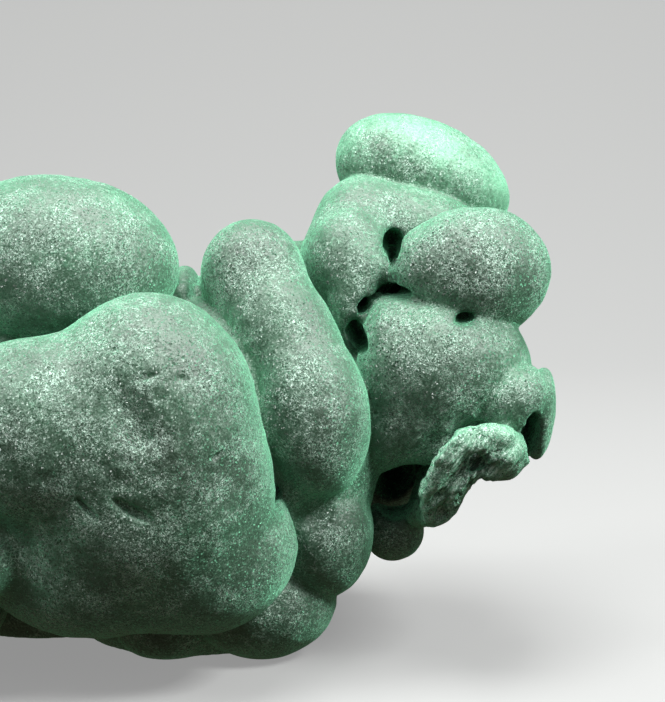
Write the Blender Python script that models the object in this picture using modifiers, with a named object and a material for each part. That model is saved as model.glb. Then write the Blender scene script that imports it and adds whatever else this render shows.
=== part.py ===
"""A botryoidal malachite specimen, 77 mm long and 55 mm high, that rests on the flat
face where it was broken from its rock.

The green mass grew as one piece, so it is one solid: some sixty round lobes, fused,
with the hollows between them deepened, and the foot cut level. The tables are in
millimetres. +Z is up, -Y is the side that shows, and the origin is on the ground
under the middle of the specimen.
"""

from math import radians

import bmesh
import bpy
from mathutils import Matrix, Vector

MM = 0.001

# Each lobe: its centre, its half width, half depth and half height, and how far its
# top leans towards +X, in degrees.
BIG_LEFT_MASS = {
    "shoulder": ((-11.6, -1.0, 40.7), (12.5, 9.5, 8.8), 4),
    "brow": ((-1.4, -13.5, 27.2), (10.7, 10.0, 12.3), 0),
    "cheek": ((-11.4, -16.0, 26.6), (10.2, 8.4, 9.3), 0),
    "trunk": ((-4.2, -12.4, 19.6), (11.5, 10.1, 10.3), 0),
    "flank": ((0.4, -12.6, 21.0), (10.2, 9.6, 10.4), 0),
    "belly": ((2.4, -9.9, 13.9), (10.5, 9.5, 8.8), 0),
    "jowl": ((-7.5, -10.6, 13.2), (10.8, 9.4, 8.1), 0),
    "cushion": ((-18.3, -17.8, 14.9), (4.4, 4.3, 4.5), 0),
    "web": ((1.0, 4.4, 36.7), (1.7, 5.2, 2.8), 0),
}
THUMB_AND_FEET = {
    "thumb_tip": ((8.1, 0.8, 39.1), (5.3, 5.2, 5.9), 0),
    "thumb_middle": ((11.3, -2.4, 33.4), (5.7, 5.7, 7.3), -24),
    "thumb": ((14.1, -5.5, 25.9), (5.9, 6.3, 8.5), -6),
    "hip": ((15.1, -1.7, 13.3), (5.3, 6.1, 6.9), 0),
    "heel": ((8.9, -1.0, 6.0), (7.6, 6.8, 6.3), 0),
    "toe": ((-0.9, 0.7, 4.0), (6.0, 6.2, 5.2), 0),
    "foot": ((22.6, 4.1, 11.9), (3.2, 3.6, 3.4), 0),
}
RIGHT_TOWER = {
    "cap": ((26.5, 16.6, 47.9), (9.5, 6.7, 5.9), 25),
    "cap_end": ((20.8, 16.8, 49.3), (4.1, 4.9, 4.5), 0),
    "collar": ((23.6, 11.6, 42.7), (8.3, 5.8, 4.9), 4),
    "nape": ((18.6, 12.4, 44.4), (2.7, 4.4, 3.1), 0),
    "neck": ((17.6, 11.0, 41.7), (4.0, 4.8, 6.2), 30),
    "knuckle": ((17.8, 5.8, 41.6), (4.2, 4.1, 3.9), 20),
    "knot": ((20.2, 4.6, 38.9), (2.7, 3.0, 1.8), -12),
    "knot_body": ((18.5, 4.3, 38.3), (2.4, 3.3, 3.0), 0),
    "gully_wall": ((18.5, 3.1, 34.6), (2.5, 3.6, 4.6), 0),
    "gully_back": ((15.8, 7.2, 37.6), (3.2, 3.8, 4.4), 0),
    "ball": ((30.6, 2.0, 39.8), (7.7, 6.5, 6.4), 0),
    "ball_left": ((25.4, 2.4, 39.6), (3.8, 4.6, 3.7), 12),
    "chest": ((27.0, -0.5, 30.3), (7.4, 7.6, 7.1), 0),
    "chest_side": ((31.9, -0.9, 30.2), (4.4, 5.0, 5.1), 0),
    "chest_left": ((22.7, 0.4, 31.7), (3.9, 5.8, 6.0), 0),
    "chest_tail": ((22.5, -0.9, 25.0), (3.1, 4.6, 6.5), 20),
    "chest_root": ((25.6, -0.6, 24.4), (4.7, 5.1, 4.5), 12),
    "ear_left": ((34.2, -3.9, 27.4), (3.2, 3.9, 3.8), 30),
    "ear_rim": ((37.2, -2.4, 25.6), (1.4, 3.3, 4.6), 5),
    "ear_back": ((35.8, 2.2, 24.6), (2.7, 4.8, 4.4), 4),
}
BROKEN_LIP = {
    "lip_lump": ((32.9, -4.9, 22.2), (2.6, 4.0, 2.8), 0),
    "lip_inner": ((31.0, -7.9, 21.3), (1.9, 1.7, 1.3), -35),
    "lip_body": ((28.5, -4.0, 20.0), (1.9, 5.2, 4.8), 31),
    "lip_flap": ((27.2, -1.0, 16.4), (1.8, 5.6, 3.2), 42),
    "lip_wall": ((25.7, 3.0, 15.8), (2.5, 5.0, 3.3), 20),
    "lip_root": ((30.8, 8.7, 20.4), (4.3, 3.8, 4.3), 0),
}
LEFT_END = {
    "far_shoulder": ((-25.8, -0.5, 35.0), (9.0, 9.0, 8.0), 0),
    "left_cheek": ((-27.6, -11.0, 24.5), (10.0, 9.5, 10.0), 0),
    "left_knee": ((-24.8, -11.0, 12.0), (8.5, 8.5, 8.0), 0),
    "left_tip": ((-33.2, 0.0, 20.5), (5.5, 6.5, 6.0), 0),
    "left_bud_high": ((-32.5, 0.5, 29.5), (4.0, 4.5, 4.0), 0),
    "left_bud_low": ((-33.0, -7.5, 14.0), (4.5, 4.5, 4.0), 0),
    "left_heel": ((-26.3, 0.5, 5.5), (9.0, 8.0, 7.0), 0),
}
BACK = {
    "back_left_high": ((-14.0, 9.5, 29.5), (10.5, 8.5, 9.5), -12),
    "back_left_low": ((-22.5, 10.0, 16.5), (7.5, 7.5, 7.5), 0),
    "back_left_bud": ((-26.5, 9.0, 26.0), (5.5, 5.0, 5.5), 0),
    "back_middle_high": ((1.0, 11.5, 31.0), (7.0, 6.5, 6.5), 0),
    "back_middle_low": ((-8.0, 13.0, 18.5), (10.0, 8.0, 8.5), 10),
    "back_middle_bud": ((-3.5, 17.0, 26.5), (4.0, 3.5, 3.5), 0),
    "back_saddle": ((12.2, 9.5, 35.5), (6.5, 6.0, 6.0), 0),
    "back_waist": ((6.5, 14.5, 17.5), (6.5, 7.0, 7.0), 0),
    "back_waist_bud": ((9.5, 16.5, 27.0), (5.0, 4.5, 4.5), 0),
    "back_hip": ((15.5, 15.5, 19.5), (7.0, 7.5, 8.0), 0),
    "back_chest": ((20.0, 17.0, 33.0), (8.0, 7.5, 7.5), 0),
    "back_chest_bud": ((24.0, 17.5, 25.0), (4.5, 4.5, 4.5), 0),
    "back_ball": ((30.2, 12.5, 37.0), (7.0, 7.0, 7.0), 0),
    "back_ear": ((29.2, 11.0, 23.5), (6.5, 6.5, 7.0), 0),
    "back_root_bud": ((-17.0, 17.5, 9.5), (5.0, 4.0, 4.5), 0),
}
MIDDLE_AND_ROOTS = {
    "left_heart": ((-19.0, -1.5, 21.5), (12.0, 11.0, 14.5), 0),
    "heart": ((2.2, 1.5, 22.0), (20.0, 12.0, 15.0), 0),
    "spine": ((19.2, 12.5, 26.0), (11.0, 8.0, 15.0), -8),
    "left_root": ((-14.8, 11.0, 4.0), (11.0, 8.5, 8.0), 0),
    "middle_root": ((1.2, 7.5, 4.5), (13.0, 11.0, 9.0), 0),
    "right_root": ((8.7, 9.5, 6.0), (8.5, 9.0, 8.0), 0),
}
GROUPS = (
    BIG_LEFT_MASS,
    THUMB_AND_FEET,
    RIGHT_TOWER,
    BROKEN_LIP,
    LEFT_END,
    BACK,
    MIDDLE_AND_ROOTS,
)

# The crust that stands up round the lip's break: points along it, each with the
# crust's half thickness there.
LIP_CRUST = (
    ((35.3, -6.4, 21.9), 0.8),
    ((34.2, -7.9, 23.6), 0.95),
    ((32.7, -8.9, 24.7), 1.1),
    ((30.8, -9.3, 25.0), 1.25),
    ((29.0, -9.5, 24.2), 1.3),
    ((27.5, -9.6, 22.8), 1.25),
    ((26.4, -9.0, 21.0), 1.15),
    ((25.9, -8.0, 19.1), 1.0),
    ((25.6, -6.9, 17.1), 0.85),
    ((26.1, -5.9, 15.5), 0.75),
)
BEADS_BETWEEN = 3

# The deep dark gaps between the lobes, and the pits and gouges in them, given in the
# same way as the lobes.
HOLLOWS = {
    "ear_slit": ((35.8, -5.1, 24.3), (1.0, 4.2, 2.5), 4),
    "neck_hole": ((22.4, 5.3, 41.6), (1.25, 5.2, 1.7), 0),
    "seam_hole": ((22.6, 0.6, 37.7), (1.9, 3.6, 0.85), 0),
    "gully_pit": ((19.2, 1.3, 36.2), (0.8, 3.6, 1.0), 14),
    "gully": ((18.9, -0.2, 33.1), (1.15, 4.7, 1.4), 10),
    "ball_pit": ((29.3, -3.6, 35.6), (0.9, 3.2, 0.65), 0),
    "cave": ((22.7, 3.8, 17.2), (2.8, 7.8, 4.0), 4),
    "cave_roof": ((24.2, 3.0, 19.2), (2.1, 5.8, 1.7), 35),
    "hip_dip": ((14.6, -8.1, 16.4), (1.9, 1.2, 1.5), 0),
    "lip_groove": ((29.2, -10.9, 22.2), (0.7, 1.0, 2.3), 44),
    "long_gouge": ((-2.0, -22.7, 20.7), (0.7, 1.0, 2.3), -58),
}

LOBE_SUBDIVISIONS = 4
FUSE_SIZE = 0.61
SOFTEN = 0.5
SOFTEN_TURNS = 3
KEPT_FACES = 0.07
GROUND_BLOCK = 120.0

DARK_GREEN = (0.03, 0.17, 0.09, 1.0)


def clear_scene():
    for thing in list(bpy.data.objects):
        bpy.data.objects.remove(thing, do_unlink=True)


def new_collection(name):
    collection = bpy.data.collections.new(name)
    bpy.context.scene.collection.children.link(collection)
    return collection


def malachite_material():
    material = bpy.data.materials.new("malachite")
    material.use_nodes = True
    shader = material.node_tree.nodes["Principled BSDF"]
    shader.inputs["Base Color"].default_value = DARK_GREEN
    shader.inputs["Roughness"].default_value = 0.55
    shader.inputs["Metallic"].default_value = 0.0
    material.diffuse_color = DARK_GREEN
    return material


def lobe_matrix(centre, halves, lean):
    """Carries a sphere of radius 1 to the lobe's place, size and lean, in metres."""
    place = Matrix.Translation([value * MM for value in centre])
    turn = Matrix.Rotation(radians(lean), 4, "Y")
    size = Matrix.Diagonal([value * MM for value in halves] + [1.0])
    return place @ turn @ size


def beads(path):
    """Round lobes along a path, closer together than their radii."""
    lobes = []
    for (start, thick), (end, thin) in zip(path, path[1:]):
        for step in range(BEADS_BETWEEN + 1):
            share = step / (BEADS_BETWEEN + 1)
            centre = Vector(start).lerp(Vector(end), share)
            half = thick + (thin - thick) * share
            lobes.append((centre, (half, half, half), 0))
    return lobes


def mesh_of_lobes(name, lobes):
    mesh = bpy.data.meshes.new(name)
    shape = bmesh.new()
    for centre, halves, lean in lobes:
        bmesh.ops.create_icosphere(
            shape,
            subdivisions=LOBE_SUBDIVISIONS,
            radius=1.0,
            matrix=lobe_matrix(centre, halves, lean),
        )
    shape.to_mesh(mesh)
    shape.free()
    return mesh


def cutter(name, mesh, collection):
    thing = bpy.data.objects.new(name, mesh)
    collection.objects.link(thing)
    thing.hide_render = True
    thing.display_type = "WIRE"
    return thing


def hollow_cutters(collection):
    return [
        cutter(name, mesh_of_lobes(name, [lobe]), collection)
        for name, lobe in HOLLOWS.items()
    ]


def ground_cutter(collection):
    """A block whose top is the level on which the specimen rests."""
    mesh = bpy.data.meshes.new("ground")
    shape = bmesh.new()
    bmesh.ops.create_cube(shape, size=GROUND_BLOCK * MM)
    bmesh.ops.translate(
        shape, verts=shape.verts, vec=(0.0, 0.0, -GROUND_BLOCK * MM / 2)
    )
    shape.to_mesh(mesh)
    shape.free()
    return cutter("ground", mesh, collection)


def cut(thing, tool):
    modifier = thing.modifiers.new(tool.name, "BOOLEAN")
    modifier.operation = "DIFFERENCE"
    modifier.solver = "EXACT"
    modifier.object = tool


def fuse(thing):
    """One skin round all the lobes, softened a little where they meet."""
    skin = thing.modifiers.new("fuse", "REMESH")
    skin.mode = "VOXEL"
    skin.voxel_size = FUSE_SIZE * MM
    soften = thing.modifiers.new("soften", "SMOOTH")
    soften.factor = SOFTEN
    soften.iterations = SOFTEN_TURNS


def thin_out(thing):
    fewer = thing.modifiers.new("fewer_faces", "DECIMATE")
    fewer.decimate_type = "COLLAPSE"
    fewer.ratio = KEPT_FACES


def specimen(collection, cutters):
    lobes = [lobe for group in GROUPS for lobe in group.values()]
    mesh = mesh_of_lobes("specimen", lobes + beads(LIP_CRUST))
    mesh.materials.append(malachite_material())
    mesh.shade_smooth()
    thing = bpy.data.objects.new("specimen", mesh)
    collection.objects.link(thing)
    fuse(thing)
    for tool in hollow_cutters(cutters):
        cut(thing, tool)
    thin_out(thing)
    cut(thing, ground_cutter(cutters))
    return thing


clear_scene()
specimen(new_collection("malachite"), new_collection("cutters"))
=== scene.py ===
"""The looks of a botryoidal malachite specimen: a dark green mass of fused round
lobes with a velvety skin of tiny crystal tips, deep gaps, a broken lip and a flat
broken base.

Places and sizes in the tables are in millimetres, in the part's own frame: +Z is up,
-Y is the side that shows, and the origin is on the ground under the middle.
"""

from math import cos, pi, radians, sin

import bpy
import numpy as np
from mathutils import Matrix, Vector


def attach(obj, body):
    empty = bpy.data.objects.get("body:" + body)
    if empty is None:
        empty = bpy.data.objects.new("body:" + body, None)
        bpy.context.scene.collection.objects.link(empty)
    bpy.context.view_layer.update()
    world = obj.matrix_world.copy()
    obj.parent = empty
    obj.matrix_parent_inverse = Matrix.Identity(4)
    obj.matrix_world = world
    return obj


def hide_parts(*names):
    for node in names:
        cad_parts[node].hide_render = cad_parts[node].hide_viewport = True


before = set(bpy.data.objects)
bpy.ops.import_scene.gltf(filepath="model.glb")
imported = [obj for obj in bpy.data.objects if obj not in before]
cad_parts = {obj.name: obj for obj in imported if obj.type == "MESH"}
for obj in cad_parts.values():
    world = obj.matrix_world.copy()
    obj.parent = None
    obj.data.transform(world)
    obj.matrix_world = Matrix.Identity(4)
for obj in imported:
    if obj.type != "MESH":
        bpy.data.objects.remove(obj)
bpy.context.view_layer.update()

MM = 0.001

# Each lobe: its centre, its half width, half depth and half height, and how far its
# top leans towards +X, in degrees. The large ones are the lobes of the solid.
BIG_LEFT_MASS = {
    "shoulder": ((-11.6, -1.0, 40.7), (12.5, 9.5, 8.8), 4),
}
FACE = {
    "brow": ((-1.4, -13.5, 27.2), (10.5, 9.6, 12.2), 0),
    "cheek": ((-11.4, -16.0, 26.6), (10.0, 7.7, 9.0), 0),
    "trunk": ((-4.2, -12.4, 19.6), (11.2, 9.6, 10.0), 0),
    "flank": ((0.4, -12.6, 21.0), (10.0, 9.2, 10.2), 0),
    "belly": ((2.4, -9.9, 13.9), (10.3, 9.1, 8.6), 0),
    "jowl": ((-7.5, -10.6, 13.2), (10.6, 9.0, 7.9), 0),
    "cushion": ((-18.3, -17.8, 14.9), (4.3, 4.2, 4.4), 0),
}
THUMB = {
    "thumb_tip": ((8.1, 0.8, 39.1), (5.2, 5.1, 5.8), 0),
    "thumb_middle": ((11.3, -2.4, 33.4), (5.2, 5.2, 7.0), -24),
    "thumb": ((14.1, -5.5, 25.9), (5.8, 6.1, 8.3), -6),
}
FEET = {
    "hip": ((15.1, -1.7, 13.3), (5.3, 6.1, 6.9), 0),
    "heel": ((8.9, -1.0, 6.0), (7.6, 6.8, 6.3), 0),
    "toe": ((-0.9, 0.7, 4.0), (6.0, 6.2, 5.2), 0),
    "foot": ((22.6, 4.1, 11.9), (3.2, 3.6, 3.4), 0),
}
WEB = {
    "web": ((1.0, 4.4, 36.7), (1.7, 5.2, 2.8), 0),
}
CAP = {
    "cap": ((26.5, 16.6, 47.9), (9.4, 6.6, 5.8), 25),
    "cap_end": ((20.8, 16.6, 49.2), (4.1, 4.8, 4.3), 0),
}
COLLAR = {
    "collar": ((23.6, 11.6, 42.7), (8.2, 5.7, 4.8), 4),
    "nape": ((18.6, 12.4, 44.4), (2.5, 4.2, 2.9), 0),
    "neck": ((17.8, 11.0, 41.5), (3.5, 4.6, 5.7), 30),
    "knuckle": ((17.9, 5.6, 41.3), (3.9, 3.9, 3.6), 20),
    "knot": ((20.2, 4.6, 38.9), (2.5, 2.8, 1.6), -12),
    "knot_body": ((18.5, 4.3, 38.3), (2.2, 3.1, 2.8), 0),
    "gully_wall": ((18.5, 3.1, 34.6), (2.3, 3.4, 4.4), 0),
    "gully_back": ((15.8, 7.2, 37.6), (3.0, 3.6, 4.2), 0),
}
CHEST = {
    "chest": ((27.0, -0.5, 30.3), (7.2, 7.3, 6.9), 0),
    "chest_side": ((31.9, -0.9, 30.2), (4.1, 4.8, 4.8), 0),
    "chest_left": ((22.7, 0.4, 31.7), (3.4, 5.3, 5.6), 0),
    "chest_tail": ((22.5, -0.9, 25.0), (2.7, 4.2, 6.2), 20),
    "chest_root": ((25.6, -0.6, 24.4), (4.4, 4.8, 4.2), 12),
}
BALL = {
    "ball": ((30.7, 1.5, 39.4), (7.6, 6.4, 6.7), 0),
    "ball_left": ((25.4, 2.4, 39.6), (3.6, 4.4, 3.5), 12),
}
EAR = {
    "ear_left": ((34.2, -3.9, 27.4), (3.2, 3.9, 3.8), 30),
    "ear_rim": ((37.1, -2.4, 25.6), (1.4, 3.3, 4.6), 5),
    "ear_back": ((35.8, 2.2, 24.6), (2.7, 4.8, 4.4), 4),
}
BROKEN_LIP = {
    "lip_lump": ((32.9, -4.9, 22.2), (2.6, 4.0, 2.8), 0),
    "lip_floor": ((31.0, -7.7, 21.2), (2.0, 1.7, 1.3), -35),
    "lip_inner": ((32.9, -8.3, 22.8), (2.2, 1.7, 1.1), -20),
    "lip_body": ((28.5, -4.0, 20.0), (1.9, 5.2, 4.8), 31),
    "lip_flap": ((27.2, -1.0, 16.4), (1.8, 5.6, 3.2), 42),
    "lip_wall": ((25.7, 3.0, 15.8), (2.5, 5.0, 3.3), 20),
    "lip_root": ((30.8, 8.7, 20.4), (4.3, 3.8, 4.3), 0),
}
LEFT_END = {
    "far_shoulder": ((-25.8, -0.5, 35.0), (9.0, 9.0, 8.0), 0),
    "left_cheek": ((-27.6, -11.0, 24.5), (10.0, 9.5, 10.0), 0),
    "left_knee": ((-24.8, -11.0, 12.0), (8.5, 8.5, 8.0), 0),
    "left_tip": ((-33.2, 0.0, 20.5), (5.5, 6.5, 6.0), 0),
    "left_bud_high": ((-32.5, 0.5, 29.5), (4.0, 4.5, 4.0), 0),
    "left_bud_low": ((-33.0, -7.5, 14.0), (4.5, 4.5, 4.0), 0),
    "left_heel": ((-26.3, 0.5, 5.5), (9.0, 8.0, 7.0), 0),
}
BACK = {
    "back_left_high": ((-14.0, 9.5, 29.5), (10.5, 8.5, 9.5), -12),
    "back_left_low": ((-22.5, 10.0, 16.5), (7.5, 7.5, 7.5), 0),
    "back_left_bud": ((-26.5, 9.0, 26.0), (5.5, 5.0, 5.5), 0),
    "back_middle_high": ((1.0, 11.5, 31.0), (7.0, 6.5, 6.5), 0),
    "back_middle_low": ((-8.0, 13.0, 18.5), (10.0, 8.0, 8.5), 10),
    "back_middle_bud": ((-3.5, 17.0, 26.5), (4.0, 3.5, 3.5), 0),
    "back_saddle": ((12.2, 9.5, 35.5), (6.5, 6.0, 6.0), 0),
    "back_waist": ((6.5, 14.5, 17.5), (6.5, 7.0, 7.0), 0),
    "back_waist_bud": ((9.5, 16.5, 27.0), (5.0, 4.5, 4.5), 0),
    "back_hip": ((15.5, 15.5, 19.5), (7.0, 7.5, 8.0), 0),
    "back_chest": ((20.0, 17.0, 33.0), (8.0, 7.5, 7.5), 0),
    "back_chest_bud": ((24.0, 17.5, 25.0), (4.5, 4.5, 4.5), 0),
    "back_ball": ((30.2, 12.5, 37.0), (7.0, 7.0, 7.0), 0),
    "back_ear": ((29.2, 11.0, 23.5), (6.5, 6.5, 7.0), 0),
    "back_root_bud": ((-17.0, 17.5, 9.5), (5.0, 4.0, 4.5), 0),
}
MIDDLE_AND_ROOTS = {
    "left_heart": ((-19.0, -1.5, 21.5), (12.0, 11.0, 14.5), 0),
    "heart": ((2.2, 1.5, 22.0), (20.0, 12.0, 15.0), 0),
    "spine": ((19.2, 12.5, 26.0), (11.0, 8.0, 15.0), -8),
    "left_root": ((-14.8, 11.0, 4.0), (11.0, 8.5, 8.0), 0),
    "middle_root": ((1.2, 7.5, 4.5), (13.0, 11.0, 9.0), 0),
    "right_root": ((8.7, 9.5, 6.0), (8.5, 9.0, 8.0), 0),
}

# The fibrous crust round the break: points along it, each with the crust's half
# thickness there.
LIP_CRUST = (
    ((35.3, -6.4, 21.9), 0.8),
    ((34.2, -7.9, 23.6), 0.95),
    ((32.7, -8.9, 24.7), 1.1),
    ((30.8, -9.3, 25.0), 1.25),
    ((29.0, -9.5, 24.2), 1.3),
    ((27.5, -9.6, 22.8), 1.25),
    ((26.4, -9.0, 21.0), 1.15),
    ((25.9, -8.0, 19.1), 1.0),
    ((25.6, -6.9, 17.1), 0.85),
    ((26.1, -5.9, 15.5), 0.75),
)
CRUST_STEP = 0.4
CRUST_PALENESS = 1.2
CRUST_SPARKLE = 1.6
PATH_MARGIN = 4.0

# How softly the lobes of each group run into each other in millimetres, how pale its
# skin is, and how much it sparkles, by its crystal ends' lean and by painted glints.
GROUPS = (
    (BIG_LEFT_MASS, 0.3, 0.35, 0.6),
    (FACE, 0.9, 0.1, 0.55),
    (THUMB, 1.0, 0.2, 0.55),
    (FEET, 0.25, 0.05, 0.35),
    (WEB, 0.25, 0.3, 0.0),
    (CAP, 0.75, 1.05, 0.3),
    (COLLAR, 1.1, 0.4, 0.45),
    (CHEST, 1.1, 0.05, 0.9),
    (BALL, 0.9, 0.05, 0.8),
    (EAR, 0.25, 0.4, 0.8),
    (BROKEN_LIP, 0.25, 0.8, 1.1),
    (LEFT_END, 0.15, 0.3, 0.6),
    (BACK, 0.15, 0.3, 0.6),
    (MIDDLE_AND_ROOTS, 0.3, 0.2, 0.4),
)
GROUP_BLEND = 0.2
# A group that blends more softly than this has no creases between its own lobes.
SOFT_GROUP = 0.7
# How far a crease's painted green, a painted sheen and shade, and a gap's painted shade
# reach, in millimetres.
CREASE_WIDTH = 0.85
HOLLOW_SHADE = 0.5

# The deep dark gaps between the lobes, given in the same way.
HOLLOWS = {
    "ear_slit": ((35.8, -5.1, 24.3), (0.85, 4.2, 2.5), 4),
    "neck_hole": ((22.4, 5.3, 42.0), (1.15, 5.2, 1.25), 0),
    "neck_hole_end": ((22.5, 5.0, 40.8), (0.55, 5.0, 1.2), 4),
    "seam_pit": ((22.7, 2.4, 39.1), (0.4, 3.2, 0.5), -10),
    "seam_hole": ((22.6, 0.8, 37.7), (1.9, 3.8, 0.65), 0),
    "gully_pit": ((19.3, 1.3, 36.2), (0.55, 3.6, 1.0), 28),
    "gully": ((18.9, -0.2, 32.9), (1.0, 4.7, 1.4), -24),
    "gully_end": ((18.3, 0.2, 34.0), (0.6, 4.0, 0.85), 35),
    "ball_pit": ((29.3, -4.8, 35.6), (1.0, 3.4, 0.52), -8),
    "lip_cavity": ((30.6, -9.6, 21.9), (1.4, 1.4, 0.6), -14),
    "thumb_pit": ((10.5, -9.8, 19.1), (0.5, 3.4, 0.7), 0),
    "cave": ((22.7, 3.8, 17.2), (2.6, 7.8, 3.8), 4),
    "cave_roof": ((24.2, 3.0, 19.2), (2.0, 5.8, 1.6), 35),
}
HOLLOW_BLEND = 0.2
GROUND_BLEND = 0.05
BASE_FADE = 1.5

# Shallow dips that leave the skin whole: the same values, and how soft their edge is.
DIPS = {
    "hip_dip": (((14.6, -8.1, 16.4), (1.9, 1.5, 1.5), 0), 0.5),
    "lip_dip_high": (((28.1, -8.1, 18.6), (0.75, 1.0, 0.6), 10), 0.1),
    "lip_dip_low": (((27.0, -7.0, 16.5), (0.5, 1.0, 1.0), 42), 0.1),
    "brow_pit_left": (((-0.3, -22.1, 33.1), (1.0, 0.6, 0.35), -12), 0.12),
    "brow_pit_right": (((2.8, -21.4, 32.7), (0.6, 0.5, 0.3), 8), 0.12),
    "brow_pit_top": (((-3.7, -20.7, 35.3), (0.6, 0.5, 0.3), 0), 0.12),
    "brow_pit_low": (((5.6, -20.9, 25.6), (0.7, 0.5, 0.25), -35), 0.12),
    "gouge": (((-6.2, -22.4, 20.9), (0.3, 0.6, 1.5), -45), 0.08),
    "long_gouge": (((-2.0, -22.7, 20.7), (0.55, 0.9, 2.2), -58), 0.08),
    "heart_gouge": (((-9.5, -21.8, 18.2), (0.4, 0.5, 1.6), -30), 0.15),
    "cheek_valley": (((-3.0, -24.4, 31.0), (2.0, 2.4, 6.5), -34), 0.7),
}
LIP_GROOVE = (
    ((30.9, -10.4, 23.6), 0.4),
    ((29.3, -10.8, 22.5), 0.5),
    ((27.9, -10.1, 20.5), 0.4),
)
GROOVE_BLEND = 0.15

# Patches where the skin is rougher: the middle, the radius and the added height.
ROUGH_PATCHES = {
    "brow_scar": ((-0.5, -22.5, 27.5), 6.0, 0.2),
    "cheek_grain": ((-12.0, -23.0, 26.0), 8.0, 0.1),
    "jowl_scar": ((-8.0, -22.0, 17.5), 4.0, 0.12),
    "lip": ((29.5, -8.0, 21.0), 6.0, 0.42),
    "ear_edge": ((34.0, -7.0, 25.0), 2.2, 0.16),
    "thumb_band": ((6.5, -5.5, 34.3), 2.6, 0.18),
    "chest_corner": ((23.0, -4.0, 36.5), 2.0, 0.14),
    "knot": ((20.2, 3.0, 38.8), 2.6, 0.2),
    "gully": ((18.8, -1.0, 35.0), 3.0, 0.2),
}
# The skin's own unevenness: how wide each layer of hummocks is, and how high; the
# same for the rough patches, as a share of their added height; and each noise's seed.
HUMMOCKS = ((3.6, 0.14), (1.7, 0.06), (0.85, 0.035))
ROUGH_GRAIN = ((1.2, 0.6), (0.6, 0.4))
HUMMOCK_SEED = 31
GRAIN_SEED = 57
FIBRE_SEED = 71
# The fibres that the break bares: their lean, their size across, deep and along, the
# middle of the bared patch, its radius, and how high they stand.
FIBRE_LEAN = 38.0
FIBRE_SIZE = (0.62, 1.2, 3.4)
FIBRE_MIDDLE = (29.0, -9.0, 20.5)
FIBRE_RADIUS = 5.0
FIBRE_HEIGHT = 0.8

# The photograph's view: 200 mm from the middle of what shows, 10 degrees above level.
VIEW_TARGET = (16.2, -2.5, 32.0)
VIEW_DISTANCE = 200.0
VIEW_ELEVATION = 10.0
SENSOR_WIDTH = 36.0
FOCAL_PIXELS = 2000.0
FRAME_WIDTH = 665

# The grid of each lobe, the squares of the two skins in millimetres, and how the
# skin's points are moved onto the smooth field.
GRID_ROWS = 40
GRID_COLUMNS = 56
GROUND_BLOCK = 120
FIRST_SKIN = 0.4
FINE_SKIN = 0.24
SETTLE_TURNS = 4
ROUGH_TURNS = 2
LONGEST_STEP = 0.5
LEAST_STEEPNESS = 0.15
FIELD_BLOCK = 40000
MOST_TRIANGLES = 196000


def turn_about_y(lean):
    """The rotation that leans a lobe's top towards +X, as a 3x3 array."""
    a = radians(lean)
    return np.array([[cos(a), 0, sin(a)], [0, 1, 0], [-sin(a), 0, cos(a)]])


def beads(path):
    """Round lobes along a path, closer together than their radii: places and radii are
    worked out by straight lines between the path's points."""
    places = np.array([place for place, _ in path])
    radii = np.array([radius for _, radius in path])
    steps = np.linalg.norm(np.diff(places, axis=0), axis=1)
    along = np.concatenate([[0], np.cumsum(steps)])
    at = np.linspace(0, along[-1], int(along[-1] / CRUST_STEP) + 2)
    points = [np.interp(at, along, places[:, axis]) for axis in range(3)]
    sizes = np.interp(at, along, radii)
    return [
        ((x, y, z), (size, size, size), 0)
        for x, y, z, size in zip(*points, sizes)
    ]


def sphere_faces(rows, columns):
    """Faces of a sphere's grid: rings of quads, closed round the seam, and a fan of
    triangles at each pole. Its points are the rings from the top down, then the two
    poles."""
    ring, place = np.meshgrid(np.arange(rows - 1), np.arange(columns), indexing="ij")
    after = (place + 1) % columns
    quads = np.stack(
        [
            ring * columns + place,
            (ring + 1) * columns + place,
            (ring + 1) * columns + after,
            ring * columns + after,
        ],
        axis=-1,
    ).reshape(-1, 4)
    top, bottom = rows * columns, rows * columns + 1
    here = np.arange(columns)
    there = (here + 1) % columns
    low = (rows - 1) * columns
    high_fan = np.stack([np.full(columns, top), here, there], axis=1)
    low_fan = np.stack([np.full(columns, bottom), low + there, low + here], axis=1)
    return quads, np.concatenate([high_fan, low_fan])


def lobe_points(centre, halves, lean):
    """An ellipsoid as a function of latitude v and longitude u: the half sizes times
    (sin v cos u, sin v sin u, cos v), leant about Y and moved to the centre."""
    v = (np.arange(GRID_ROWS) + 1) * pi / (GRID_ROWS + 1)
    u = np.arange(GRID_COLUMNS) * 2 * pi / GRID_COLUMNS
    v, u = np.meshgrid(v, u, indexing="ij")
    ball = np.stack([np.sin(v) * np.cos(u), np.sin(v) * np.sin(u), np.cos(v)], axis=-1)
    ball = np.concatenate([ball.reshape(-1, 3), [[0, 0, 1], [0, 0, -1]]])
    return ball * halves @ turn_about_y(lean).T + centre


def joined_lobes(lobes):
    """Points and faces of many lobes, side by side in one mesh."""
    quads, fans = sphere_faces(GRID_ROWS, GRID_COLUMNS)
    points = [lobe_points(*lobe) for lobe in lobes]
    first = (np.arange(len(points)) * len(points[0]))[:, None, None]
    faces = (quads + first).reshape(-1, 4).tolist()
    faces += (fans + first).reshape(-1, 3).tolist()
    return np.concatenate(points), faces


def new_object(name, points, faces):
    """A mesh object with its place in its mesh; points are in millimetres."""
    mesh = bpy.data.meshes.new(name)
    mesh.from_pydata((np.asarray(points) * MM).tolist(), [], faces)
    mesh.validate()
    mesh.update()
    thing = bpy.data.objects.new(name, mesh)
    bpy.context.scene.collection.objects.link(thing)
    return thing


def apply_modifiers(thing):
    """Keeps what the modifiers make as the object's own mesh."""
    graph = bpy.context.evaluated_depsgraph_get()
    mesh = bpy.data.meshes.new_from_object(thing.evaluated_get(graph))
    thing.modifiers.clear()
    old, thing.data = thing.data, mesh
    bpy.data.meshes.remove(old)


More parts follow.
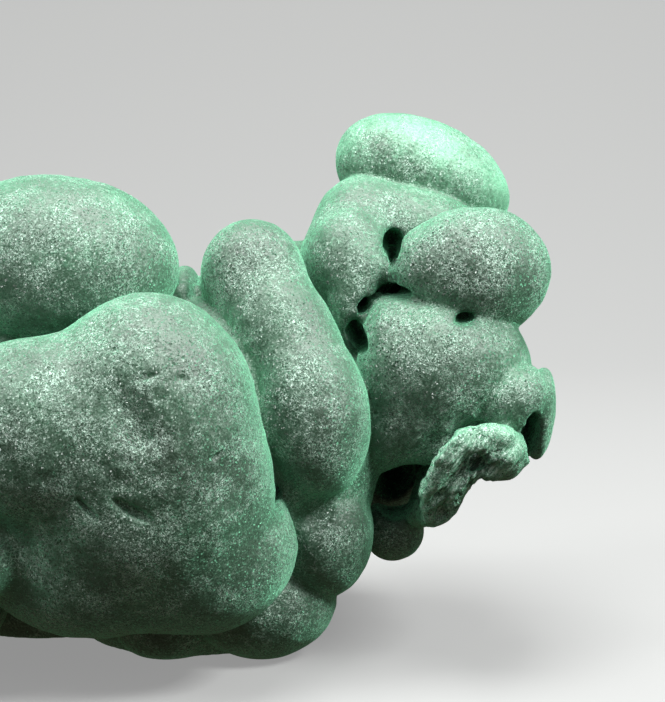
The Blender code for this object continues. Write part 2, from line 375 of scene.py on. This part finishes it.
def points_of(thing):
    points = np.empty(len(thing.data.vertices) * 3, np.float32)
    thing.data.vertices.foreach_get("co", points)
    return points.reshape(-1, 3).astype(np.float64) / MM


def put_points(thing, points):
    flat = (points * MM).astype(np.float32).ravel()
    thing.data.vertices.foreach_set("co", flat)
    thing.data.update()


def wrap(thing, size):
    """One even skin round everything in the mesh, of squares of the given size."""
    skin = thing.modifiers.new("skin", "REMESH")
    skin.mode = "VOXEL"
    skin.voxel_size = size * MM
    apply_modifiers(thing)


def cut_away(thing, tool):
    cut = thing.modifiers.new(tool.name, "BOOLEAN")
    cut.operation = "DIFFERENCE"
    cut.solver = "MANIFOLD"
    cut.object = tool
    apply_modifiers(thing)
    bpy.data.objects.remove(tool, do_unlink=True)


def fused_lobes():
    """One skin round all the lobes, with the hollows and the ground cut away."""
    lobes = [lobe for group, *_ in GROUPS for lobe in group.values()]
    skin = new_object("malachite", *joined_lobes(lobes + beads(LIP_CRUST)))
    wrap(skin, FIRST_SKIN)
    for name, hollow in HOLLOWS.items():
        cut_away(skin, new_object(name, *joined_lobes([hollow])))
    below = (0, 0, -GROUND_BLOCK / 2 * MM)
    bpy.ops.mesh.primitive_cube_add(size=GROUND_BLOCK * MM, location=below)
    cut_away(skin, bpy.context.object)
    wrap(skin, FIRST_SKIN)
    return skin


def lobe_field(points, lobe):
    """About how far each point is outside an ellipsoid, and the way out. With q the
    point over the half sizes, and s the point over their squares, the distance is
    |q| (|q| - 1) / |s|."""
    centre, halves, lean = lobe
    turn = turn_about_y(lean)
    local = (points - centre) @ turn
    halves = np.array(halves)
    near = np.linalg.norm(local / halves, axis=1)
    slope = local / halves**2
    steep = np.maximum(np.linalg.norm(slope, axis=1), 1e-9)
    return near * (near - 1) / steep, (slope / steep[:, None]) @ turn.T


def soft_union(fields, blend):
    """The nearest of several fields, rounded where two are alike: minus the blend
    times the logarithm of the sum of e to the minus distance over the blend."""
    distances = np.stack([distance for distance, _ in fields])
    nearest = distances.min(axis=0)
    weights = np.exp((nearest - distances) / blend)
    total = weights.sum(axis=0)
    way = sum(w[:, None] * direction for w, (_, direction) in zip(weights, fields))
    return nearest - blend * np.log(total), way / total[:, None]


def soft_cut(field, tool, blend):
    """What is left of a field outside a tool: the union of their insides turned."""
    outside = (-field[0], -field[1])
    distance, way = soft_union([outside, tool], blend)
    return -distance, -way


def path_field(points, path):
    """The nearest of a path's beads. Points well clear of all of them only get the
    distance to their middle, which is more than enough to leave them out."""
    lobes = beads(path)
    middle = np.mean([centre for centre, _, _ in lobes], axis=0)
    away = points - middle
    distance = np.linalg.norm(away, axis=1)
    way = away / np.maximum(distance, 1e-9)[:, None]
    reach = max(np.linalg.norm(np.array(centre) - middle) for centre, _, _ in lobes)
    close = np.flatnonzero(distance < reach + PATH_MARGIN)
    if len(close):
        parts = [lobe_field(points[close], lobe) for lobe in lobes]
        distances = np.stack([part for part, _ in parts])
        ways = np.stack([part for _, part in parts])
        best = distances.argmin(axis=0)
        row = np.arange(len(close))
        distance[close] = distances[best, row]
        way[close] = ways[best, row]
    return distance, way


def group_parts(points, group):
    """The field of each lobe in a group, with the crust round the break as one more."""
    parts = [lobe_field(points, lobe) for lobe in group.values()]
    if group is BROKEN_LIP:
        parts.append(path_field(points, LIP_CRUST))
    return parts


def specimen_field(points):
    """Signed distance to the whole specimen's skin, and the way out of it."""
    groups = [soft_union(group_parts(points, row[0]), row[1]) for row in GROUPS]
    field = soft_union(groups, GROUP_BLEND)
    for hollow in HOLLOWS.values():
        field = soft_cut(field, lobe_field(points, hollow), HOLLOW_BLEND)
    for dip, blend in DIPS.values():
        field = soft_cut(field, lobe_field(points, dip), blend)
    field = soft_cut(field, path_field(points, LIP_GROOVE), GROOVE_BLEND)
    below = (points[:, 2], np.tile([0.0, 0.0, 1.0], (len(points), 1)))
    return soft_cut(field, below, GROUND_BLEND)


def in_blocks(function, points):
    """The function's arrays over many points, worked out a block at a time."""
    cuts = range(0, len(points), FIELD_BLOCK)
    parts = [function(points[start : start + FIELD_BLOCK]) for start in cuts]
    return [np.concatenate(column) for column in zip(*parts)]


def lattice_noise(points, size, seed):
    """Smooth hummocks from -1 to 1: each corner of a lattice has a random value, and
    they are blended across a cell by 3 t t - 2 t t t along each axis."""
    place = points / size + seed
    cell = np.floor(place).astype(np.int64)
    part = place - cell
    part = part * part * (3 - 2 * part)
    total = np.zeros(len(points))
    for corner in np.ndindex(2, 2, 2):
        x, y, z = (cell + corner).T
        mixed = (x * 73856093) ^ (y * 19349663) ^ (z * 83492791)
        mixed = ((mixed ^ (mixed >> 13)) * 1274126177) & 0xFFFFFFFF
        value = (mixed ^ (mixed >> 16)) / 2**31 - 1
        total += value * np.prod(np.where(corner, part, 1 - part), axis=1)
    return total


def near_break(points):
    """1 at the middle of the break, and e to minus the distance squared round it."""
    away = ((points - FIBRE_MIDDLE) ** 2).sum(axis=1)
    return np.exp(-away / FIBRE_RADIUS**2)


def relief(points):
    """How far the skin stands out beyond the smooth field: layers of hummocks, and
    coarser grain in the rough patches, which fade as e to minus the distance squared.
    The break's fibres are noise stretched along them. The flat base has none."""
    height = sum(
        high * lattice_noise(points, wide, HUMMOCK_SEED + wide)
        for wide, high in HUMMOCKS
    )
    rough = sum(
        added * np.exp(-((points - middle) ** 2).sum(axis=1) / radius**2)
        for middle, radius, added in ROUGH_PATCHES.values()
    )
    grain = sum(
        share * lattice_noise(points, wide, GRAIN_SEED + wide)
        for wide, share in ROUGH_GRAIN
    )
    along = points @ turn_about_y(FIBRE_LEAN) / FIBRE_SIZE
    fibres = FIBRE_HEIGHT * near_break(points) * lattice_noise(along, 1.0, FIBRE_SEED)
    fade = np.clip(points[:, 2] / BASE_FADE, 0, 1)
    return (height + rough * grain + fibres) * fade


def settle(points, turns, rough=False):
    """Newton's steps along the field bring each point onto the rounded skin."""
    for _ in range(turns):
        distance, way = in_blocks(specimen_field, points)
        if rough:
            distance = distance - relief(points)
        steep = np.maximum((way**2).sum(axis=1), LEAST_STEEPNESS)
        step = np.clip(distance / steep, -LONGEST_STEP, LONGEST_STEP)
        points = points - step[:, None] * way
    return points


def thinned(thing):
    """Fewer triangles, larger where the skin is smooth."""
    thing.data.calc_loop_triangles()
    fewer = thing.modifiers.new("fewer", "DECIMATE")
    fewer.ratio = min(1.0, MOST_TRIANGLES / len(thing.data.loop_triangles))
    apply_modifiers(thing)


def skin_finish(points):
    """Each point's paleness and sparkle, mixed from the lobes near it by e to minus
    the distance; how deep it lies in a crease, the sum of those weights less 1; how
    near a hollow it is, and how near the middle of the break."""
    distances, pales, sparks = [], [], []
    for group, blend, paleness, sparkle in GROUPS:
        parts = [lobe_field(points, lobe) for lobe in group.values()]
        if blend > SOFT_GROUP or group is BROKEN_LIP:
            parts = [soft_union(parts, blend)]
        distances += [distance for distance, _ in parts]
        pales += [paleness] * len(parts)
        sparks += [sparkle] * len(parts)
    crust = path_field(points, LIP_CRUST)[0]
    distances.append(crust)
    pales.append(CRUST_PALENESS)
    sparks.append(CRUST_SPARKLE)
    distances = np.stack(distances)
    weights = np.exp((distances.min(axis=0) - distances) / CREASE_WIDTH)
    total = weights[:-1].sum(axis=0) / weights[:-1].max(axis=0)
    inside = [lobe_field(points, hollow)[0] for hollow in HOLLOWS.values()]
    inside = np.maximum(np.min(inside, axis=0), 0)
    paleness = (weights * np.array(pales)[:, None]).sum(axis=0) / weights.sum(axis=0)
    sparkle = (weights * np.array(sparks)[:, None]).sum(axis=0) / weights.sum(axis=0)
    crease = np.clip(total - 1, 0, 1)
    hollow = np.exp(-inside / HOLLOW_SHADE)
    return paleness, sparkle, crease, hollow, near_break(points)


def mark_finish(thing):
    values = in_blocks(skin_finish, points_of(thing))
    names = "paleness", "sparkle", "crease", "hollow", "bared"
    for name, value in zip(names, values):
        layer = thing.data.attributes.new(name, "FLOAT", "POINT")
        layer.data.foreach_set("value", value.astype(np.float32))


def malachite_skin():
    skin = fused_lobes()
    put_points(skin, settle(points_of(skin), SETTLE_TURNS))
    wrap(skin, FINE_SKIN)
    put_points(skin, settle(points_of(skin), ROUGH_TURNS, rough=True))
    thinned(skin)
    mark_finish(skin)
    skin.data.shade_smooth()
    return skin


class Value:
    """A socket's value, on which + - * and / add Math nodes."""

    def __init__(self, nodes, socket):
        self.nodes, self.socket = nodes, socket

    def maths(self, operation, first, second):
        return self.nodes.value("Math", {"operation": operation}, first, second)

    def __add__(self, other):
        return self.maths("ADD", self, other)

    def __sub__(self, other):
        return self.maths("SUBTRACT", self, other)

    def __rsub__(self, other):
        return self.maths("SUBTRACT", other, self)

    def __mul__(self, other):
        return self.maths("MULTIPLY", self, other)

    def __truediv__(self, other):
        return self.maths("DIVIDE", self, other)

    __radd__, __rmul__ = __add__, __mul__

    def limited(self):
        """The value kept between 0 and 1."""
        return self.nodes.value("Clamp", {}, self)

    def over(self, edge, width):
        """0 below the edge and 1 above it, over the given width."""
        return ((self - (edge - width / 2)) / width).limited()


class Nodes:
    """Adds a material's nodes: the type, then its settings, then its sockets."""

    def __init__(self, material):
        material.use_nodes = True
        self.tree = material.node_tree
        self.shader = self.tree.nodes["Principled BSDF"]

    def fill(self, socket, value):
        if isinstance(value, Value):
            self.tree.links.new(value.socket, socket)
        else:
            socket.default_value = value

    def node(self, kind, settings, *values, **named):
        node = self.tree.nodes.new("ShaderNode" + kind)
        for key, value in settings.items():
            setattr(node, key, value)
        for socket, value in zip(node.inputs, values):
            self.fill(socket, value)
        for key, value in named.items():
            self.fill(node.inputs[key.replace("_", " ")], value)
        return node

    def value(self, kind, settings, *values, output=0, **named):
        return Value(self, self.node(kind, settings, *values, **named).outputs[output])

    def mark(self, name):
        """A value marked on the mesh, point by point."""
        return self.value("Attribute", {"attribute_name": name}, output="Fac")

    def mixed(self, share, first, second):
        """A colour between two."""
        node = self.node("Mix", {"data_type": "RGBA"})
        for number, value in ((0, share), (6, first), (7, second)):
            self.fill(node.inputs[number], value)
        return Value(self, node.outputs[2])

    def vector(self, operation, *values):
        settings = {"operation": operation}
        return self.value("VectorMath", settings, *values, output="Vector")

    def scaled(self, vector, by):
        return self.value(
            "VectorMath", {"operation": "SCALE"}, vector, output="Vector", Scale=by
        )

    def grain(self, place, per_mm, detail):
        """Cloudy noise from 0 to 1, so many clouds to the millimetre."""
        return self.value("TexNoise", {}, Vector=place, Scale=per_mm, Detail=detail)

    def ridge(self, noise, width):
        """1 along the lines where noise passes its middle, 0 a width from them: the
        lines wander and close on themselves, as felted fibres do."""
        off = self.value("Math", {"operation": "ABSOLUTE"}, noise - 0.5)
        return (1 - off / (width / 2)).limited()

    def finish(self, **sockets):
        for key, value in sockets.items():
            self.fill(self.shader.inputs[key.replace("_", " ")], value)


# The skin's colours.
DEEP_GREEN = (0.020, 0.043, 0.024, 1)
GREEN = (0.048, 0.150, 0.080, 1)
MINT = (0.17, 0.45, 0.27, 1)
# Painted sheen and shade: the saturated green that creases are pulled to.
PAINTED_CREASE_GREEN = (0.022, 0.140, 0.062, 1)
# Painted glints: the white of the glinting threads and of the break's glinting streaks.
PAINTED_GLINT_WHITE = (0.68, 0.92, 0.78, 1)
SHADED_GREEN = (0.003, 0.020, 0.009, 1)
SHEEN_GREEN = (0.36, 1.0, 0.62, 1)
# The scales of its patterns, from wide clouds to single crystal ends, and the size of
# the streaks on the break across, deep and along.
CLOUDS_PER_MM = 0.17
PATCHES_PER_MM = 0.3
TUFTS_PER_MM = 1.5
FIBRES_PER_MM = 3.4
THREADS_PER_MM = 2.6
FINER_THREADS = 1.9
THREAD_WIDTH = 0.095
CELLS_PER_MM = 7.0
STREAK_SIZE = (0.35, 0.7, 1.8)
# How much of the skin carries glints, painted white into its colour: by its sparkle,
# its patches and its tufts, never less than the least, and a little less in the
# creases.
GLINTS_BY_SPARKLE, GLINTS_BY_PATCHES, GLINTS_BY_TUFTS = 0.55, 3.6, 1.8
LEAST_GLINTS = 0.12
CREASE_GLINT_LOSS = 0.2
# How light its green is: a start, and what paleness and each pattern add.
LIGHT_START, LIGHT_PALENESS = 0.22, 0.6
LIGHT_CLOUDS, LIGHT_TUFTS, LIGHT_FIBRES = 1.3, 0.5, 0.6
MINT_START, MINT_GAIN = 0.55, 2.0
# How far a full crease pulls the colour to that painted sheen and shade green.
PAINTED_CREASE_SHARE = 0.5
GAP_SHADE = 0.8
# A streak on the break is painted in shade where its noise is under the middle by the
# first share, and painted with white glints where it is over it by the second; each
# fades over a width.
SHADED_STREAK, SHADED_FADE = 0.02, 0.06
GLINTING_STREAK, GLINTING_FADE = 0.05, 0.08
# Which crystal ends glint, and how far the ends lean.
GLINT_EDGE, GLINT_FADE = 0.8, 0.1
LEAN_START, LEAN_GLINT_PATCHES, LEAN_GLINT = 0.25, 0.6, 1.3
RISE_THREADS, RISE_FIBRES, RISE_STREAKS = 0.8, 0.8, 2.5
RISE_MM = 0.10
RISE_STRENGTH = 0.6
DULL = 0.5
THREAD_GLINT_POLISH, GLINT_POLISH = 0.2, 0.15


def malachite_finish():
    """Dark green with paler clouds, creases painted a saturated green as painted sheen
    and shade, and painted shade in the gaps. Felted threads painted white as glints
    lie over it in patches, and each cell of a fine pattern is one crystal's end, which
    leans its own way and so glints or stays dark. The break is streaked along its
    fibres in painted shade and painted white glints."""
    material = bpy.data.materials.new("malachite")
    nodes = Nodes(material)
    object_place = nodes.value("TexCoord", {}, output="Object")
    place = nodes.scaled(object_place, 1 / MM)
    paleness = nodes.mark("paleness")
    sparkle = nodes.mark("sparkle")
    crease = nodes.mark("crease")
    hollow = nodes.mark("hollow")
    bared = nodes.mark("bared")

    clouds = nodes.grain(place, CLOUDS_PER_MM, 3.0)
    patches = nodes.grain(place, PATCHES_PER_MM, 4.0)
    tufts = nodes.grain(place, TUFTS_PER_MM, 2.0)
    fibres = nodes.grain(place, FIBRES_PER_MM, 3.0)
    curls = nodes.grain(place, THREADS_PER_MM, 2.0)
    finer_curls = nodes.grain(nodes.scaled(place, FINER_THREADS), THREADS_PER_MM, 2.0)
    threads = nodes.ridge(curls, THREAD_WIDTH) + nodes.ridge(finer_curls, THREAD_WIDTH)
    threads = threads.limited()
    cell = nodes.node("TexVoronoi", {}, Vector=place, Scale=CELLS_PER_MM)
    cell_colour = Value(nodes, cell.outputs["Color"])
    luck = nodes.value("SeparateColor", {}, cell_colour)

    glint_patches = (
        sparkle * GLINTS_BY_SPARKLE
        + (patches - 0.5) * GLINTS_BY_PATCHES
        + (tufts - 0.5) * GLINTS_BY_TUFTS
    ).limited()
    glint_patches = LEAST_GLINTS + glint_patches * (1 - LEAST_GLINTS)
    glint_patches = glint_patches * (1 - crease * CREASE_GLINT_LOSS)
    light = (
        LIGHT_START
        + paleness * LIGHT_PALENESS
        + (clouds - 0.5) * LIGHT_CLOUDS
        + (tufts - 0.5) * LIGHT_TUFTS
        + (fibres - 0.5) * LIGHT_FIBRES
    ).limited()
    colour = nodes.mixed(light, DEEP_GREEN, GREEN)
    colour = nodes.mixed((light - MINT_START).limited() * MINT_GAIN, colour, MINT)
    # Painted sheen and shade: creases are pulled toward a saturated green.
    colour = nodes.mixed(crease * PAINTED_CREASE_SHARE, colour, PAINTED_CREASE_GREEN)

    streaks = nodes.node(
        "Mapping",
        {"vector_type": "TEXTURE"},
        Vector=place,
        Rotation=(0, radians(FIBRE_LEAN), 0),
        Scale=STREAK_SIZE,
    )
    streaks = nodes.grain(Value(nodes, streaks.outputs[0]), 1.0, 2.0)
    # Painted shade: near the hollows and between the break's fibres the colour turns
    # near black.
    shaded = hollow + bared * (0.5 - streaks).over(SHADED_STREAK, SHADED_FADE)
    colour = nodes.mixed(shaded.limited() * GAP_SHADE, colour, SHADED_GREEN)
    # Painted glints: white threads in the glinting patches, and white streaks along the
    # break's fibres.
    painted_glints = threads * glint_patches * (0.1 + luck * 1.1) * (1 - hollow)
    streak_glints = bared * (streaks - 0.5).over(GLINTING_STREAK, GLINTING_FADE)
    painted_glints = (painted_glints + streak_glints * (0.2 + luck)).limited()
    colour = nodes.mixed(painted_glints, colour, PAINTED_GLINT_WHITE)

    lean = nodes.vector("SUBTRACT", cell_colour, (0.5, 0.5, 0.5))
    glint = luck.over(GLINT_EDGE, GLINT_FADE) * (0.25 + sparkle)
    reach = glint_patches * LEAN_GLINT_PATCHES + LEAN_START + glint * LEAN_GLINT
    lean = nodes.scaled(lean, reach)
    normal = nodes.value("NewGeometry", {}, output="Normal")
    normal = nodes.vector("NORMALIZE", nodes.vector("ADD", normal, lean))
    rise = (
        threads * glint_patches * RISE_THREADS
        + fibres * RISE_FIBRES
        + bared * streaks * RISE_STREAKS
    )
    bump = nodes.value(
        "Bump",
        {},
        Strength=RISE_STRENGTH,
        Distance=RISE_MM * MM,
        Height=rise,
        Normal=normal,
    )
    nodes.finish(
        Base_Color=colour,
        Roughness=(DULL - painted_glints * THREAD_GLINT_POLISH - glint * GLINT_POLISH).limited(),
        Normal=bump,
        IOR=1.7,
        Sheen_Weight=1.0,
        Sheen_Roughness=0.45,
        Sheen_Tint=SHEEN_GREEN,
    )
    return material


# The backdrop, in millimetres, and its colour and own light.
FLOOR_FRONT = -900
FLOOR_HALF_WIDTH = 1500
BEND_START = 160.0
BEND_RADIUS = 220.0
WALL_HEIGHT = 900
PALE_GREY = (0.2, 0.205, 0.2, 1)
BACKDROP_GLOW = 0.28
# The sky's colours, and how far below and above the horizon one turns to the other.
SKY_LOW = (0.072, 0.060, 0.040, 1)
SKY_HIGH = (0.42, 0.42, 0.42, 1)
SKY_EDGE = -0.05
SKY_FULL = 0.6


def camera():
    """The photograph's view, from 10 degrees above level on the -Y side."""
    data = bpy.data.cameras.new("camera")
    data.sensor_fit = "HORIZONTAL"
    data.sensor_width = SENSOR_WIDTH
    data.lens = SENSOR_WIDTH * FOCAL_PIXELS / FRAME_WIDTH
    data.clip_start = 0.01
    thing = bpy.data.objects.new("camera", data)
    bpy.context.scene.collection.objects.link(thing)
    a = radians(VIEW_ELEVATION)
    back = Vector((0, -cos(a), sin(a)))
    thing.location = (Vector(VIEW_TARGET) + back * VIEW_DISTANCE) * MM
    thing.rotation_euler = back.to_track_quat("Z", "Y").to_euler()
    bpy.context.scene.camera = thing


def area_light(name, place, size, power):
    """A square lamp at a place in millimetres that faces the specimen's middle."""
    data = bpy.data.lights.new(name, "AREA")
    data.size = size * MM
    data.energy = power
    thing = bpy.data.objects.new(name, data)
    bpy.context.scene.collection.objects.link(thing)
    where = Vector(place)
    thing.location = where * MM
    aim = where - Vector(VIEW_TARGET)
    thing.rotation_euler = aim.to_track_quat("Z", "Y").to_euler()


def backdrop():
    """A pale sheet, flat under the specimen and curved up behind it: the profile
    (y, z) is a straight floor, a quarter of a circle and a straight wall, carried
    along x. It throws no light back, so the specimen's underside stays dark."""
    turn = np.linspace(0, pi / 2, 24)
    floor = np.stack([np.linspace(FLOOR_FRONT, BEND_START, 12), np.zeros(12)], axis=1)
    bend = np.stack(
        [
            BEND_START + BEND_RADIUS * np.sin(turn),
            BEND_RADIUS * (1 - np.cos(turn)),
        ],
        axis=1,
    )
    rise = np.linspace(60, WALL_HEIGHT, 8)
    wall = bend[-1] + np.stack([np.zeros(8), rise], axis=1)
    profile = np.concatenate([floor, bend[1:], wall])
    across = np.linspace(-FLOOR_HALF_WIDTH, FLOOR_HALF_WIDTH, 9)
    x, row = np.meshgrid(across, np.arange(len(profile)), indexing="ij")
    points = np.concatenate([x[..., None], profile[row]], axis=-1).reshape(-1, 3)
    n, m = len(across), len(profile)
    i, j = np.meshgrid(np.arange(n - 1), np.arange(m - 1), indexing="ij")
    low = i * m + j
    faces = np.stack([low, low + m, low + m + 1, low + 1], axis=-1).reshape(-1, 4)
    sheet = new_object("backdrop", points, faces.tolist())
    sheet.data.shade_smooth()
    material = bpy.data.materials.new("backdrop")
    Nodes(material).finish(
        Base_Color=PALE_GREY,
        Roughness=0.9,
        Emission_Color=(1, 1, 1, 1),
        Emission_Strength=BACKDROP_GLOW,
    )
    sheet.data.materials.append(material)
    sheet.visible_diffuse = sheet.visible_glossy = False


def soft_sky():
    """Even light from above the horizon, and a little warm light from below it."""
    world = bpy.data.worlds.new("world")
    world.use_nodes = True
    tree = world.node_tree
    place = tree.nodes.new("ShaderNodeTexCoord")
    parts = tree.nodes.new("ShaderNodeSeparateXYZ")
    height = tree.nodes.new("ShaderNodeMapRange")
    height.inputs["From Min"].default_value = SKY_EDGE
    height.inputs["From Max"].default_value = SKY_FULL
    light = tree.nodes.new("ShaderNodeMix")
    light.data_type = "RGBA"
    light.inputs[6].default_value = SKY_LOW
    light.inputs[7].default_value = SKY_HIGH
    tree.links.new(place.outputs["Generated"], parts.inputs[0])
    tree.links.new(parts.outputs["Z"], height.inputs["Value"])
    tree.links.new(height.outputs[0], light.inputs[0])
    tree.links.new(light.outputs[2], tree.nodes["Background"].inputs["Color"])
    bpy.context.scene.world = world


def studio():
    backdrop()
    area_light("top", (0, 0, 320), 150, 1.35)
    area_light("left", (-220, -120, 260), 100, 0.5)
    area_light("right", (240, -110, 290), 100, 1.75)
    soft_sky()
    bpy.context.scene.view_settings.view_transform = "Standard"


camera()
skin = malachite_skin()
skin.data.materials.clear()
skin.data.materials.append(malachite_finish())
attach(skin, "root")
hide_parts("specimen")
studio()
